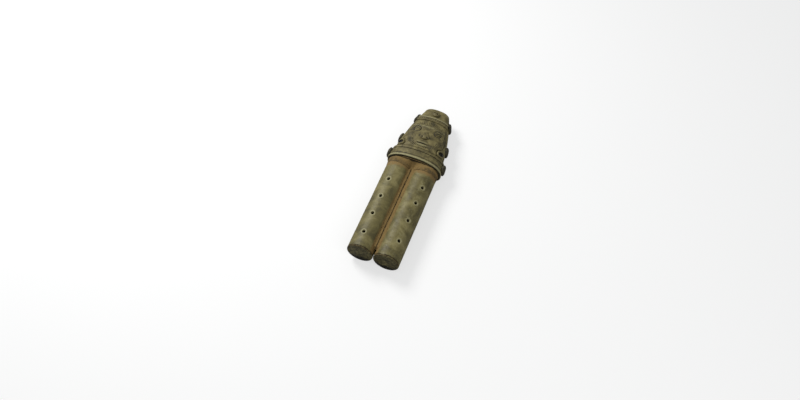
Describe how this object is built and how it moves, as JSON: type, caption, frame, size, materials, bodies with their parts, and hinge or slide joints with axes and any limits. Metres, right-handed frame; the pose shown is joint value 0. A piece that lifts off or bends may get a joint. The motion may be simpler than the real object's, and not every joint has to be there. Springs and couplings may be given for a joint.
{
  "type": "double clay flute",
  "caption": "Paired closed clay pipes side by side under a modelled head with a face, blown through the crown, with finger holes in front and sound windows at the back.",
  "frame": {"origin": "centre of the flute's footprint on the surface that it lies on, back down", "axes": "+Y from the feet to the crown that is blown, +Z out of the face, +X to the right of someone who looks at the face with the feet towards them"},
  "size_m": [0.0712, 0.21, 0.0342],
  "materials": {
    "pipe_clay": "burnished, unglazed, dark olive fired clay",
    "head_clay": "hand-smoothed, unglazed, dark olive fired clay",
    "applied_clay": "applied strips and features of the same clay, smoothed by hand",
    "pellet_clay": "smoke-darkened pressed pellets",
    "earthy_clay": "rough fill in the hollows with ochre earth lodged on it",
    "core_clay": "rough unburnished clay inside the instrument"
  },
  "bodies": {
    "root": {"left_tube": "pipe_clay", "right_tube": "pipe_clay", "left_foot_cap": "pipe_clay", "right_foot_cap": "pipe_clay", "front_web": "earthy_clay", "back_web": "earthy_clay", "neck_fillet": "earthy_clay", "base_plate": "core_clay", "left_pipe_block": "core_clay", "right_pipe_block": "core_clay", "left_windway_duct": "core_clay", "right_windway_duct": "core_clay", "face_shell": "head_clay", "back_shell": "head_clay", "crown_block": "head_clay", "collar_band": "applied_clay", "headband": "applied_clay", "face_plate": "applied_clay", "nose": "applied_clay", "left_eye": "applied_clay", "right_eye": "applied_clay", "upper_lip": "applied_clay", "lower_lip": "applied_clay", "left_ear_ring": "applied_clay", "right_ear_ring": "applied_clay", "left_ear_stud": "pellet_clay", "right_ear_stud": "pellet_clay", "left_upper_pellet": "pellet_clay", "left_middle_pellet": "pellet_clay", "left_lower_pellet": "pellet_clay", "right_upper_pellet": "pellet_clay", "right_middle_pellet": "pellet_clay", "right_lower_pellet": "pellet_clay", "crown_lug": "applied_clay"}
  },
  "joints": []
}
